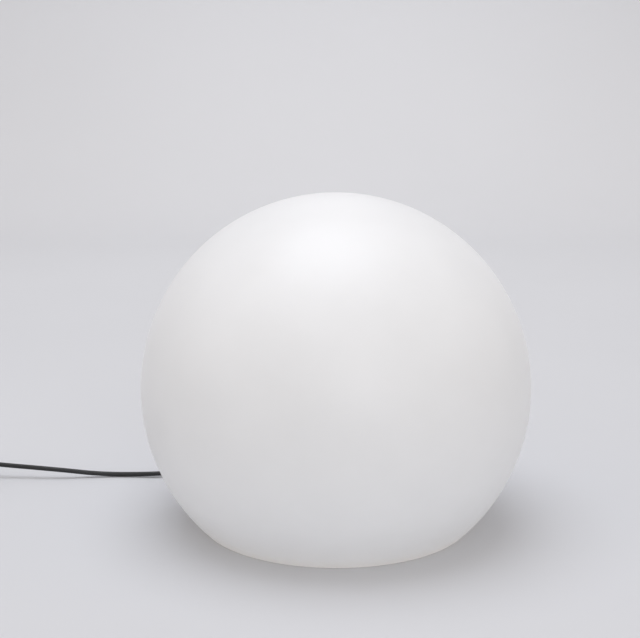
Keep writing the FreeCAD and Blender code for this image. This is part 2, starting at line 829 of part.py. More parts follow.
def make_spring_clips():
    # Each clip lies on the pod's top plate and bends down over its edge. Its bulge stands over the
    # neck ring's lip.
    body = sub_part("spring_clips")
    leaf = pad(body, "leaf", [
        ("clip_root", "spigot_top"),
        ("spigot_radius + clip_play", "spigot_top"),
        ("spigot_radius + clip_bulge - clip_thickness - clip_play", "spigot_top - clip_bulge_drop"),
        ("spigot_radius + clip_return", "spigot_top - clip_return_drop"),
        ("spigot_radius + clip_return + clip_thickness", "spigot_top - clip_return_drop - clip_play"),
        ("spigot_radius + clip_bulge", "spigot_top - clip_bulge_drop"),
        ("spigot_radius + clip_thickness", "spigot_top + clip_thickness"),
        ("clip_root", "spigot_top + clip_thickness"),
    ], "clip_width", plane="XZ_Plane", midplane=True)
    around(body, "ring", [leaf], "clip_count")
    hole = cylinder(body, "hole", "m3_radius", ("clip_screw_circle", "0", "spigot_top"),
                    "clip_thickness", cut=True)
    around(body, "holes", [hole], "clip_count")


# ---- the lead's gland, clamp and terminals -----------------------------------------------------


def make_gland():
    body = sub_part("gland_body")
    pad(body, "hexagon", hexagon("gland_across_flats"), "gland_flange", plane="XZ_Plane",
        shift=("0", "lead_height", "-(flange_start)"), back=True)
    cylinder(body, "thread", "gland_thread_radius",
             ("0", "flange_start - gland_back_length", "lead_height"),
             "gland_back_length + gland_flange + gland_front_length", along_y=True)
    cylinder(body, "bore", "cord_radius + bore_play",
             ("0", "flange_start - gland_back_length", "lead_height"),
             "gland_back_length + gland_flange + gland_front_length", along_y=True, cut=True)
    cylinder(body, "seal_seat", "seal_radius", ("0", "flange_end + gland_front_length - seal_length",
                                                "lead_height"), "seal_length", along_y=True, cut=True)

    washer = sub_part("gland_washer")
    cylinder(washer, "disc", "gland_washer_radius", ("0", "niche_back", "lead_height"),
             "gland_washer_thickness", along_y=True)
    cylinder(washer, "hole", "gland_thread_radius", ("0", "niche_back", "lead_height"),
             "gland_washer_thickness", along_y=True, cut=True)

    locknut = sub_part("gland_locknut")
    pad(locknut, "hexagon", hexagon("gland_across_flats"), "gland_locknut_thickness",
        plane="XZ_Plane", shift=("0", "lead_height", "-(niche_inside)"))
    cylinder(locknut, "hole", "gland_thread_radius",
             ("0", "niche_inside - gland_locknut_thickness", "lead_height"),
             "gland_locknut_thickness", along_y=True, cut=True)

    nut = sub_part("gland_nut")
    pad(nut, "hexagon", hexagon("gland_across_flats"), "gland_nut_hex", plane="XZ_Plane",
        shift=("0", "lead_height", "-(flange_end)"), back=True)
    revolve(nut, "cone", [
        ("nut_cone_start - cone_overlap", "0"),
        ("nut_end", "0"),
        ("nut_end", "gland_nut_end_radius"),
        ("nut_cone_start", "gland_across_flats / 2"),
        ("nut_cone_start - cone_overlap", "gland_across_flats / 2"),
    ], plane="YZ_Plane", shift=("0", "lead_height", "0"), axis="H_Axis")
    cylinder(nut, "thread", "gland_thread_radius", ("0", "flange_end", "lead_height"),
             "gland_front_length", along_y=True, cut=True)
    cylinder(nut, "mouth", "seal_radius", ("0", "flange_end", "lead_height"),
             "gland_nut_hex + gland_nut_cone", along_y=True, cut=True)

    # The rubber seal runs on as a tapered sleeve that keeps the cord from kinking.
    turned("gland_seal", [
        ("flange_end + gland_front_length - seal_length", "cord_radius"),
        ("tail_end", "cord_radius"),
        ("tail_end", "tail_end_radius"),
        ("nut_end", "tail_start_radius"),
        ("flange_end + gland_front_length", "seal_radius"),
        ("flange_end + gland_front_length - seal_length", "seal_radius"),
    ], plane="YZ_Plane", shift=("0", "lead_height", "0"), axis="H_Axis")


def make_cord_clamp():
    tail = sub_part("cord_tail")
    cylinder(tail, "sheath", "cord_radius", ("0", "sheath_end", "lead_height"),
             "tail_end - sheath_end", along_y=True)
    half = "clamp_length / 2"
    body = sub_part("cord_clamp")
    box(body, "bar", ("-clamp_half_width", f"clamp_place - {half}", "lead_height + clamp_gap / 2"),
        ("clamp_half_width", f"clamp_place + {half}", "clamp_top"))
    cylinder(body, "groove", "cord_radius", ("0", f"clamp_place - {half}", "lead_height"),
             "clamp_length", along_y=True, cut=True)
    places = [("clamp_screw_spread", "clamp_place"), ("-clamp_screw_spread", "clamp_place")]
    for number, place in enumerate(places):
        cylinder(body, f"hole{number}", "m3_radius", (*place, "lead_height"),
                 "clamp_thickness + clamp_gap * 2", cut=True)
    screws("clamp_screws", "m3", "clamp_screw_length", "clamp_top", places, head_down=False)


def make_terminals():
    poles = [("pole_spread", 1), ("-pole_spread", -1)]
    brass_low, brass_high = "wire_height - brass_half_side", "wire_height + brass_half_side"
    ends = ["block_place + block_length / 2", "block_place - block_length / 2"]
    block = sub_part("terminal_block")
    box(block, "housing", ("-block_width / 2", ends[1], "floor_top"),
        ("block_width / 2", ends[0], "block_top"))
    brass = sub_part("terminal_brass")
    for number, (x, _) in enumerate(poles):
        low = (f"{x} - brass_half_side", "block_place - brass_half_length", brass_low)
        high = (f"{x} + brass_half_side", "block_place + brass_half_length", brass_high)
        box(block, f"nest{number}", low, high, cut=True)
        box(brass, f"sleeve{number}", low, high)
    for number, (x, _) in enumerate(poles):
        for body in (block, brass):
            cylinder(body, f"front_hole{number}", "wire_radius + wire_play",
                     (x, f"{ends[0]} - wire_depth", "wire_height"), "wire_depth", along_y=True, cut=True)
            cylinder(body, f"rear_hole{number}", "wire_radius + wire_play",
                     (x, ends[1], "wire_height"), "wire_depth", along_y=True, cut=True)
            for side in (1, -1):
                place = (x, f"block_place + {side} * brass_half_length / 2")
                cylinder(body, f"screw_hole{number}{side + 1}", "pole_radius",
                         (*place, "wire_height"), "block_height / 2", cut=True)
                if body is block:
                    cylinder(body, f"well{number}{side + 1}", "pole_head_radius + wire_play",
                             (*place, "block_top - pole_well"), "pole_well", cut=True)
    cylinder(block, "fixing_hole", "m3_radius", ("0", "block_place", "floor_top"), "block_height",
             cut=True)
    places = [(x, f"block_place + {side} * brass_half_length / 2") for x, _ in poles for side in (1, -1)]
    screws("terminal_screws", "pole", "block_height / 2 - pole_well - wire_radius",
           "block_top - pole_well", places, head_down=False)
    screws("block_screw", "m3", "block_screw_length", "block_top", [("0", "block_place")],
           head_down=False)


def make_wires():
    front = size("block_place + block_length / 2 - wire_depth")
    rear = size("block_place - block_length / 2 + wire_depth")
    level, pole, core = size("wire_height"), size("pole_spread"), size("core_spread")
    lead_level, sheath_end = size("lead_height"), size("sheath_end")
    thread_way, side_way = size("plate_under - nipple_below"), size("terminal_place")
    above = size("spigot_top + nipple_above")
    terminal = size("core_under")
    radius = size("wire_radius")
    cores = []
    bow, bend = size("spigot_bore - wire_bow_gap"), size("wire_bend")
    shoulder, dip = thread_way - size("wire_shoulder"), size("wire_dip")
    for sign, label in ((1, "brown_wire"), (-1, "blue_wire")):
        short = [(core, sheath_end, lead_level), (core, sheath_end - size("core_straight"), lead_level),
                 (pole, front + size("core_lead"), level), (pole, front, level)]
        long = [(pole, rear, level), (pole, bend * 2 - bow, level),
                (pole, -bow, level + size("wire_rise")), (pole - size("wire_lean"), bend - bow, shoulder),
                (core, rear + dip, thread_way - dip), (core, 0, thread_way - size("wire_entry")),
                (core, 0, above + size("wire_exit")), (side_way, 0, above + size("wire_crest")),
                (side_way, 0, terminal)]
        routes = [[FreeCAD.Vector(sign * x, y, z) for x, y, z in points] for points in (short, long)]
        cores.append(sweep_round(rounded_route(routes[0], label + " core"), radius, label + " core"))
        feature(label, sweep_round(rounded_route(routes[1], label), radius, label))
    feature("cord_cores", Part.makeCompound(cores))


# ---- the lampholder --------------------------------------------------------------------------


def make_lampholder():
    nipple_under = "plate_under - nipple_below"
    turned("holder_nipple", [
        ("nipple_bore_radius", nipple_under),
        ("nipple_radius", nipple_under),
        ("nipple_radius", "spigot_top + nipple_above"),
        ("nipple_bore_radius", "spigot_top + nipple_above"),
    ])
    washer_under = "plate_under - plain_washer_thickness"
    turned("holder_washer", [
        ("nipple_radius", washer_under), ("plain_washer_radius", washer_under),
        ("plain_washer_radius", "plate_under"), ("nipple_radius", "plate_under"),
    ])
    locknut = sub_part("holder_locknut")
    pad(locknut, "hexagon", hexagon("locknut_across_flats"), "locknut_thickness",
        shift=("0", "0", f"{washer_under} - locknut_thickness"))
    cylinder(locknut, "hole", "nipple_radius", ("0", "0", f"{washer_under} - locknut_thickness"),
             "locknut_thickness", cut=True)
    turned("holder_cap", [
        ("nipple_radius", "spigot_top"),
        ("holder_foot_radius", "spigot_top"),
        ("holder_radius", "core_under - holder_floor"),
        ("holder_radius", "cap_top"),
        ("holder_bore", "cap_top"),
        ("holder_bore", "core_under"),
        ("holder_ledge", "core_under"),
        ("holder_foot_radius - cone_step", "spigot_top + holder_floor"),
        ("nipple_radius", "spigot_top + holder_floor"),
    ])
    core = turned("holder_core", [
        ("0", "core_under"),
        ("core_radius", "core_under"),
        ("core_radius", "core_top"),
        ("core_recess_radius", "core_top"),
        ("core_recess_radius", "recess_floor"),
        ("0", "recess_floor"),
    ])
    terminals = sub_part("holder_terminals")
    for side in ("", "-"):
        low = (f"{side}terminal_place - terminal_side / 2", "-terminal_side / 2", "core_under")
        high = (f"{side}terminal_place + terminal_side / 2", "terminal_side / 2",
                "core_under + terminal_height")
        name = "left" if side else "right"
        box(core, "nest_" + name, low, high, cut=True)
        box(terminals, name, low, high)
    contact = sub_part("holder_contact")
    low, thin = "recess_floor", "contact_thickness"
    pad(contact, "strip", [
        ("-contact_reach", low),
        ("contact_reach - contact_margin", low),
        ("contact_reach", f"{low} + contact_bend"),
        ("contact_tongue", "tip_level"),
        ("-contact_tongue", "tip_level"),
        ("-contact_tongue - contact_margin", "tip_level - contact_bend"),
        (f"-contact_tongue - contact_margin + {thin}", f"tip_level - contact_bend - {thin} / 2"),
        (f"-contact_tongue + {thin} / 2", f"tip_level - {thin}"),
        (f"contact_tongue - {thin} / 2", f"tip_level - {thin}"),
        (f"contact_reach - {thin} * contact_bend", f"{low} + contact_bend"),
        (f"contact_reach - contact_margin - {thin} / 2", f"{low} + {thin}"),
        ("-contact_reach", f"{low} + {thin}"),
    ], "contact_width", plane="XZ_Plane", midplane=True)
    shell = turned("holder_screw_shell", [
        ("shell_flange_inner", "core_top"),
        ("holder_shell_bore + screw_shell_wall", "core_top"),
        ("holder_shell_bore + screw_shell_wall", "core_top + screw_shell_height"),
        ("holder_shell_bore", "core_top + screw_shell_height"),
        ("holder_shell_bore", "core_top + screw_shell_wall"),
        ("shell_flange_inner", "core_top + screw_shell_wall"),
    ])
    slope = "(holder_rib_root - holder_rib_crest) / 2"
    thread(shell, "rib", [
        ("holder_shell_bore + rib_bite", "holder_rib_level"),
        ("holder_shell_bore + rib_bite", "holder_rib_level + holder_rib_root"),
        ("holder_rib_radius", f"holder_rib_level + holder_rib_root - {slope}"),
        ("holder_rib_radius", f"holder_rib_level + {slope}"),
    ], "holder_rib_length")
    turned("holder_skirt", [
        ("holder_bore", "cap_top"),
        ("holder_radius", "cap_top"),
        ("holder_radius", "holder_top"),
        ("holder_mouth_radius", "holder_top"),
        ("holder_mouth_radius", "holder_top - holder_wall"),
        ("holder_bore", "holder_top - holder_wall"),
    ])


# ---- the bulb --------------------------------------------------------------------------------


def make_bulb_cap():
    turned("bulb_contact", [
        ("0", "tip_level"), ("tip_radius", "tip_level"),
        ("tip_radius", "insulator_start"), ("0", "insulator_start"),
    ])
    turned("bulb_insulator", [
        ("0", "insulator_start"),
        ("tip_radius + tip_margin", "insulator_start"),
        ("insulator_radius", "shell_start"),
        ("insulator_radius", "insulator_start + insulator_height"),
        ("0", "insulator_start + insulator_height"),
    ])
    cap_bore = "bulb_core_radius - bulb_cap_wall"
    cap = turned("bulb_cap", [
        ("insulator_radius", "shell_start"),
        ("bulb_core_radius", "shell_start"),
        ("bulb_core_radius", "bulb_cap_top"),
        (cap_bore, "bulb_cap_top"),
        (cap_bore, "shell_start + bulb_cap_wall"),
        ("insulator_radius", "shell_start + bulb_cap_wall"),
    ])
    slope = "(rib_root - rib_crest) / 2"
    thread(cap, "rib", [
        ("bulb_core_radius - rib_bite", "bulb_rib_level"),
        ("bulb_thread_radius", f"bulb_rib_level + {slope}"),
        ("bulb_thread_radius", f"bulb_rib_level + rib_root - {slope}"),
        ("bulb_core_radius - rib_bite", "bulb_rib_level + rib_root"),
    ], "bulb_rib_length")


def make_bulb_housing():
    cap_bore = "bulb_core_radius - bulb_cap_wall"
    turned("bulb_housing", [
        (f"{cap_bore} - bulb_wall", "bulb_cap_top - bulb_neck_depth"),
        (cap_bore, "bulb_cap_top - bulb_neck_depth"),
        (cap_bore, "bulb_cap_top"),
        ("bulb_collar_radius", "bulb_cap_top"),
        ("bulb_collar_radius + collar_step", "bulb_cap_top + bulb_collar_height"),
        ("bulb_rim_radius - rim_step", "rim_top - bulb_rim_height"),
        ("bulb_rim_radius", "rim_top - bulb_rim_height + rim_edge"),
        ("bulb_rim_radius", "rim_top"),
        ("dome_seat_radius", "rim_top"),
        ("dome_seat_radius", "board_level"),
        ("dome_seat_radius - board_ledge", "board_level"),
        ("dome_seat_radius - board_ledge", "board_level - bulb_wall"),
        ("bulb_collar_radius + collar_step - bulb_wall", "bulb_cap_top + bulb_collar_height"),
        (f"{cap_bore} - bulb_wall", "bulb_cap_top"),
    ])
    turned("bulb_board", [
        ("0", "board_level"), ("dome_seat_radius - board_play", "board_level"),
        ("dome_seat_radius - board_play", "board_top"), ("0", "board_top"),
    ])
    chips = sub_part("bulb_chips")
    chip = box(chips, "chip", ("chip_circle - chip_width / 2", "-chip_length / 2", "board_top"),
               ("chip_circle + chip_width / 2", "chip_length / 2", "board_top + chip_height"))
    around(chips, "ring", [chip], "chip_count")
    driver = sub_part("bulb_driver")
    foot = "bulb_cap_top - driver_depth"
    box(driver, "board", ("-driver_half_width", "0", foot),
        ("driver_half_width", "board_thickness", "board_level"))
    cylinder(driver, "can", "driver_can_radius",
             ("0", "-driver_can_radius", f"{foot} + driver_can_start"), "driver_can_height")
    turned("bulb_dome", [
        ("dome_inner_radius", "board_top"),
        ("dome_seat_radius", "board_top"),
        ("dome_seat_radius", "rim_top"),
        ("bulb_rim_radius", "rim_top"),
        ("bulb_rim_radius", "dome_edge"),
        ("0", "bulb_top", "bulb_radius", 1),
        ("0", "bulb_top - bulb_wall"),
        ("dome_inner_radius", "dome_inner_edge", "dome_bore", -1),
    ])


# ---- the lead on the ground --------------------------------------------------------------------

# The cord lies on the ground behind the globe and out to the left, rises on to the put-away coil and
# ends in a two-pin plug beside it.


def coil_spot(turns):
    # The place and direction on the coil after so many turns: from the top layer's outside in to its
    # inside, down a layer, out again, and so on.
    layer_turns = size("coil_turns / coil_layers")
    layers = int(size("coil_layers"))
    step, change = size("coil_step"), size("change_turns")
    layer = min(int(turns / layer_turns + 1e-9), layers - 1)
    along = turns - layer * layer_turns
    inward = along if layer % 2 == 0 else layer_turns - along
    rate = -step if layer % 2 == 0 else step
    drop, drop_rate = 0.0, 0.0
    for turned_layers in range(1, layers):
        part = (turns - turned_layers * layer_turns) / change + 0.5
        if abs(part - 0.5) < 1e-9:
            rate = 0.0
        part = min(max(part, 0.0), 1.0)
        drop += step * part ** 2 * (3 - 2 * part)
        drop_rate += step * 6 * part * (1 - part) / change
    radius = size("coil_outer_radius") - step * inward
    angle = math.pi / 2 + 2 * math.pi * turns
    out = FreeCAD.Vector(math.cos(angle), math.sin(angle), 0)
    round_way = FreeCAD.Vector(-math.sin(angle), math.cos(angle), 0)
    place = spot("coil_x", "coil_y", "coil_top") + out * radius - FreeCAD.Vector(0, 0, drop)
    way = round_way * (2 * math.pi * radius) + out * rate - FreeCAD.Vector(0, 0, drop_rate)
    return place, way.normalize()


def coil_stations():
    layer_turns, half_change = size("coil_turns / coil_layers"), size("change_turns / 2")
    marks = [0.0]
    for layer in range(1, int(size("coil_layers"))):
        marks += [layer * layer_turns - half_change, layer * layer_turns, layer * layer_turns + half_change]
    marks.append(size("coil_turns"))
    stations = [0.0]
    for start, end in zip(marks, marks[1:]):
        pieces = math.ceil((end - start) / half_change - 1e-9)
        stations += [start + (end - start) * number / pieces for number in range(1, pieces + 1)]
    return stations


def least_gap(path, diameter, name):
    points = path.discretize(Number=int(path.Length / 3))
    apart = int(diameter * 6 / 3)
    nearest = min(points[one].distanceToPoint(points[other])
                  for one in range(len(points)) for other in range(one + apart, len(points)))
    print(f"{name}: least gap between turns {nearest - diameter:.2f}")


def make_lead():
    diameter, radius = size("cord_diameter"), size("cord_radius")
    stations = [coil_spot(turns) for turns in coil_stations()]
    first, first_way = stations[0]
    last, last_way = stations[-1]
    coil_in = first - first_way * diameter
    coil_out = last + last_way * diameter
    edges = [Part.LineSegment(coil_in, first).toShape()]
    for (start, start_way), (end, end_way) in zip(stations, stations[1:]):
        edges += biarc(start, start_way, end, end_way)
    edges.append(Part.LineSegment(last, coil_out).toShape())
    coil_path = Part.Wire(edges)
    feature("cord_coil", sweep_round(coil_path, radius, "cord_coil"))
    least_gap(coil_path, diameter, "cord_coil")

    ground = radius + size("floor_play")
    route = [(0, 128, 15), (0.8, 160, 9), (-1, 196, ground), (-23, 230, ground), (-61, 247, ground),
             (-105, 243, ground), (-148, 221, ground), (-189, 190, ground), (-240, 162, 6.2),
             (-300, 167, ground), (-342, 165, 5.2), (-384, 159, 12), (-430, 160, 16), (-478, 165, 18.5)]
    points = [spot("0", "tail_end", "lead_height")] + [FreeCAD.Vector(*point) for point in route]
    points += [coil_in - first_way * size("coil_straight"), coil_in]
    run_path = rounded_route(points, "cord_run")
    feature("cord_run", sweep_round(run_path, radius, "cord_run"))

    end_points = [coil_out, coil_out + last_way * size("end_straight"),
                  spot("plug_x - end_shift", "plug_start + end_turn", "cord_radius + floor_play + end_lift"),
                  spot("plug_x", "plug_start + end_level", "plug_level"),
                  spot("plug_x", "plug_start", "plug_level")]
    end_path = rounded_route(end_points, "cord_end")
    feature("cord_end", sweep_round(end_path, radius, "cord_end"))
    whole = coil_path.Length + run_path.Length + end_path.Length
    print(f"free cord {whole:.0f}")


def make_plug():
    shift = ("0", "plug_level", "-(plug_x)")
    boot = sub_part("plug_boot")
    revolve(boot, "cone", [
        ("plug_start", "0"),
        ("plug_start", "boot_end_radius"),
        ("boot_root", "boot_root_radius"),
        ("boot_root", "0"),
    ], plane="YZ_Plane", shift=("0", "plug_level", "plug_x"), axis="H_Axis")

    body = sub_part("plug_body")
    sections = [("neck", "boot_root", "plug_neck_side", "plug_neck_side", "plug_neck_corner"),
                ("shoulder", "plug_neck_end", "plug_half_width", "plug_half_height", "plug_corner"),
                ("face", "plug_face", "plug_half_width", "plug_half_height", "plug_corner")]
    sketches = [outline(body, name, rounded_block(wide, high, corner),
                        shift=("plug_x", "plug_level", f"-({place})"))
                for name, place, wide, high, corner in sections]
    loft = body.newObject("PartDesign::AdditiveLoft", "plug_body_loft")
    loft.Profile = (sketches[0], [""])
    loft.Sections = sketches[1:]
    loft.Ruled = True
    body.Tip = loft
    doc.recompute()

    pins = sub_part("plug_pins")
    for side, name in (("", "right"), ("-", "left")):
        place = ("plug_x + " if side == "" else "plug_x - ") + "pin_spread"
        cylinder(body, "socket_" + name, "pin_root_radius", (place, "plug_face", "plug_level"), "pin_root",
                 along_y=True, cut=True)
        revolve(pins, name, [
            ("plug_face + pin_root", "0"),
            ("plug_face + pin_root", "pin_root_radius"),
            ("plug_face", "pin_root_radius"),
            ("plug_face", "pin_radius"),
            ("plug_face - pin_length + pin_radius / 2", "pin_radius"),
            ("plug_face - pin_length", "pin_radius / 2"),
            ("plug_face - pin_length", "0"),
        ], plane="YZ_Plane", shift=("0", "plug_level", place), axis="H_Axis")


make_globe_shell()
make_neck_ring()
make_neck_gasket()
make_neck_inserts()
screws("neck_screws", "m4", "neck_screw_length", "flange_under + head_sink", None, head_down=True,
       circle="neck_screw_circle", copies="neck_screw_count")
make_pod_pan()
make_pod_lid()
make_rings()
make_pod_feet()
screws("lid_screws", "m4", "lid_screw_length", "pan_under + head_sink", None, head_down=True,
       circle="post_circle", copies="post_count", angle="post_angle")
make_spring_clips()
screws("clip_screws", "m3", "clip_screw_length", "spigot_top + clip_thickness", None,
       head_down=False, circle="clip_screw_circle", copies="clip_count")
make_gland()
make_cord_clamp()
make_terminals()
make_wires()
make_lampholder()
make_bulb_cap()
make_bulb_housing()
make_lead()
make_plug()

doc.recompute()
faults = [thing.Label for thing in doc.Objects if {"Invalid", "Error"} & set(thing.State)]
faults += [part.Label for part in parts if part.Shape.isNull() or not part.Shape.isValid()]
if faults:
    raise SystemExit("these failed: " + ", ".join(faults))

os.makedirs("parts", exist_ok=True)
for part in parts:
    part.Shape.exportStep(f"parts/{part.Label}.step")
print(len(parts), "sub-parts written")
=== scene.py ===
import bmesh
import bpy
from math import cos, pi, radians, sin
from mathutils import Matrix, Vector


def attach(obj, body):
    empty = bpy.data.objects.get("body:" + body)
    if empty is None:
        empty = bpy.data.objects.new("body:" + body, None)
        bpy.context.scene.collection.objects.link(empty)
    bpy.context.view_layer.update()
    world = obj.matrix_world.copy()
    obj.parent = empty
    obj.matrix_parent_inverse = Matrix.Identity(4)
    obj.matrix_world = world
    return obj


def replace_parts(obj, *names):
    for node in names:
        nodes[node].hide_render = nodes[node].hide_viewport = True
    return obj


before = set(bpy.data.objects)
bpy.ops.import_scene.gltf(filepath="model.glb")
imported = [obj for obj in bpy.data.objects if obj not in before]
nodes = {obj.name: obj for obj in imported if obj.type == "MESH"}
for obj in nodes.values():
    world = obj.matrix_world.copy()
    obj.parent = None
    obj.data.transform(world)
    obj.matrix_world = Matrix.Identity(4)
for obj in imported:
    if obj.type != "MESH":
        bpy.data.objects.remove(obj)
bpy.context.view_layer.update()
print("CAD nodes loaded:", len(nodes))


def linear(hexColour):
    # from the hex digits of a screen's colour to the linear light that shaders and lamps take
    channels = [int(hexColour[place:place + 2], 16) / 255 for place in (0, 2, 4)]
    return [c / 12.92 if c < 0.04045 else ((c + 0.055) / 1.055) ** 2.4 for c in channels] + [1.0]


def smoothStep(part):
    # 0 to 1, with a level start and end
    return part ** 2 * (3 - 2 * part)


def addNode(material, kind, settings=None, inputs=None):
    # settings are the node's own options, inputs are values or another node's output
    tree = material.node_tree
    node = tree.nodes.new(kind)
    for name, value in (settings or {}).items():
        if name == "stops":  # a colour ramp's places and colours
            for stop, (place, colour) in zip(node.color_ramp.elements, value):
                stop.position, stop.color = place, linear(colour)
        else:
            setattr(node, name, value)
    for name, value in (inputs or {}).items():
        if isinstance(value, bpy.types.NodeSocket):
            tree.links.new(value, node.inputs[name])
        else:
            node.inputs[name].default_value = value
    return node


def startMaterial(name, colour, roughness, **sockets):
    # sockets are the shader's other inputs, with _ for a space
    material = bpy.data.materials.new(name)
    material.use_nodes = True
    shader = material.node_tree.nodes["Principled BSDF"]
    shader.inputs["Base Color"].default_value = linear(colour)
    shader.inputs["Roughness"].default_value = roughness
    for socket, value in sockets.items():
        shader.inputs[socket.replace("_", " ")].default_value = value
    material.diffuse_color = linear(colour)
    place = addNode(material, "ShaderNodeTexCoord").outputs["Object"]
    return material, shader, place


def addObject(name, data):
    added = bpy.data.objects.new(name, data)
    bpy.context.scene.collection.objects.link(added)
    return added


def meshObject(mesh, name, material):
    mesh.normal_update()
    data = bpy.data.meshes.new(name)
    mesh.to_mesh(data)
    mesh.free()
    data.materials.append(material)
    data.shade_smooth()
    return addObject(name, data)


def finishPiece(mesh, name, body, material, smoothAngle=35):
    piece = meshObject(mesh, name, material)
    piece.data.set_sharp_from_angle(angle=radians(smoothAngle))
    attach(piece, body)
    return piece


def spunPiece(outline, name, body, material, axisPoint, axis, steps):
    # outline: corners (distance along the axis, radius), all round a section or from axis to axis
    mesh = bmesh.new()
    axis = Vector(axis)
    side = axis.orthogonal().normalized()
    ring = [mesh.verts.new(Vector(axisPoint) + axis * along + side * radius)
            for along, radius in outline]
    onAxis = outline[0][1] == 0 and outline[-1][1] == 0
    edges = [mesh.edges.new((one, other)) for one, other in zip(ring, ring[1:])]
    if not onAxis:
        edges.append(mesh.edges.new((ring[-1], ring[0])))
    bmesh.ops.spin(mesh, geom=ring + edges, cent=axisPoint, axis=axis, angle=2 * pi, steps=steps,
                   use_merge=True, use_duplicate=False)
    weldGap = 1e-6  # the corners on the axis come together
    bmesh.ops.remove_doubles(mesh, verts=mesh.verts, dist=weldGap)
    bmesh.ops.recalc_face_normals(mesh, faces=mesh.faces)
    return finishPiece(mesh, name, body, material)


def addSkin(material, shader, relief, depthMm, strength, pattern, roughness, tones):
    # relief raises and lowers the surface, gloss and colour follow the middle of the pattern
    patternFrom, patternTo = 0.3, 0.7
    bump = addNode(material, "ShaderNodeBump", inputs={
        "Height": relief, "Distance": depthMm / 1000, "Strength": strength})
    dull = addNode(material, "ShaderNodeMapRange", inputs={
        "Value": pattern, "From Min": patternFrom, "From Max": patternTo,
        "To Min": roughness[0], "To Max": roughness[1]})
    tone = addNode(material, "ShaderNodeValToRGB", {"stops": tones}, {"Fac": pattern})
    link = material.node_tree.links.new
    link(bump.outputs[0], shader.inputs["Normal"])
    link(dull.outputs[0], shader.inputs["Roughness"])
    link(tone.outputs[0], shader.inputs["Base Color"])
    return tone


def mouldedSkin(material, shader, place, grainMm, depthMm, patchMm, roughness, tones):
    # the tool's texture is grainMm wide and depthMm deep, and patches are duller or glossier
    skin = {"grainDetail": 3, "patchDetail": 4, "strength": 0.6}
    grain = addNode(material, "ShaderNodeTexNoise", inputs={
        "Vector": place, "Scale": 1000 / grainMm, "Detail": skin["grainDetail"]})
    patches = addNode(material, "ShaderNodeTexNoise", inputs={
        "Vector": place, "Scale": 1000 / patchMm, "Detail": skin["patchDetail"]})
    return addSkin(material, shader, grain.outputs[0], depthMm, skin["strength"],
                   patches.outputs[0], roughness, tones)


def opalPolyethylene():
    # rotationally moulded polyethylene: satin, a little light goes in, and the wall's thickness
    # shows as very faint clouds; the oven leaves an orange peel; a painted glow lights the foot
    look = {"colour": "F0F2F4", "cloud": "EDEFF1", "cloudMm": 90, "cloudRange": (0.3, 0.7),
            "peelMm": 3.5, "peelDepthMm": 0.05, "roughness": (0.38, 0.47), "ior": 1.51,
            "soft": 0.12, "softRadius": (1.0, 0.98, 0.95), "softDepth": 0.006,
            "sheen": 0.25, "sheenRoughness": 0.5,
            "dust": "DDD9D0", "dustAmount": 0.25, "dustFrom": 0.001, "dustHeight": 0.016,
            "speckleScale": 110, "speckleDetail": 5,
            # the last three set the painted glow round the foot: its strength, how fast it fades
            # with height, its colour
            "paintedGlow": 0.15, "paintedGlowHeight": 0.022, "paintedGlowColour": "FFF6EE"}
    material, shader, place = startMaterial(
        "rotomoulded opal polyethylene", look["colour"], look["roughness"][0], IOR=look["ior"],
        Subsurface_Weight=look["soft"], Subsurface_Radius=look["softRadius"],
        Subsurface_Scale=look["softDepth"],
        # a film of fine dust lightens the limb
        Sheen_Weight=look["sheen"], Sheen_Roughness=look["sheenRoughness"],
        # the colour of the painted glow
        Emission_Color=linear(look["paintedGlowColour"]))
    cloudTones = list(zip(look["cloudRange"], (look["cloud"], look["colour"])))
    tone = mouldedSkin(material, shader, place, look["peelMm"], look["peelDepthMm"],
                       look["cloudMm"], look["roughness"], cloudTones)
    # garden dust sits just above the ground, up to a ragged edge
    height = addNode(material, "ShaderNodeSeparateXYZ", inputs={"Vector": place}).outputs["Z"]
    speckle = addNode(material, "ShaderNodeTexNoise", inputs={
        "Vector": place, "Scale": look["speckleScale"], "Detail": look["speckleDetail"]})
    edge = addNode(material, "ShaderNodeMath", {"operation": "MULTIPLY"},
                   {0: speckle.outputs[0], 1: look["dustHeight"] * 2})
    amount = addNode(material, "ShaderNodeMapRange", inputs={
        "Value": height, "From Min": look["dustFrom"], "From Max": edge.outputs[0],
        "To Min": look["dustAmount"], "To Max": 0.0})
    # a colour mix takes its colours at inputs 6 and 7 and gives its own at output 2
    mix = addNode(material, "ShaderNodeMix", {"data_type": "RGBA"},
                  {0: amount.outputs[0], 6: tone.outputs[0], 7: linear(look["dust"])})
    material.node_tree.links.new(mix.outputs[2], shader.inputs["Base Color"])
    # the wall is translucent; a painted glow stands in for the light that falls in from above and
    # comes out faintly round the foot: the shell gives off light of its own, fading with height
    paintedGlowFade = addNode(material, "ShaderNodeMath", {"operation": "DIVIDE"},
                   {0: height, 1: -look["paintedGlowHeight"]})
    spread = addNode(material, "ShaderNodeMath", {"operation": "EXPONENT"}, {0: paintedGlowFade.outputs[0]})
    paintedGlow = addNode(material, "ShaderNodeMath", {"operation": "MULTIPLY"},
                   {0: spread.outputs[0], 1: look["paintedGlow"]})
    material.node_tree.links.new(paintedGlow.outputs[0], shader.inputs["Emission Strength"])
    return material


def opalPolycarbonate():
    # the bulb's blow-moulded dome: milky, smooth, lets light in
    look = {"colour": "F3F3EF", "tones": [(0.3, "EFEFEA"), (0.7, "F6F6F3")], "grainMm": 1.6,
            "depthMm": 0.012, "patchMm": 20, "roughness": (0.25, 0.33), "ior": 1.585,
            "soft": 0.25, "softRadius": (1.0, 0.95, 0.88), "softDepth": 0.003}
    material, shader, place = startMaterial(
        "opal polycarbonate", look["colour"], look["roughness"][0], IOR=look["ior"],
        Subsurface_Weight=look["soft"], Subsurface_Radius=look["softRadius"],
        Subsurface_Scale=look["softDepth"])
    mouldedSkin(material, shader, place, look["grainMm"], look["depthMm"], look["patchMm"],
                look["roughness"], look["tones"])
    return material


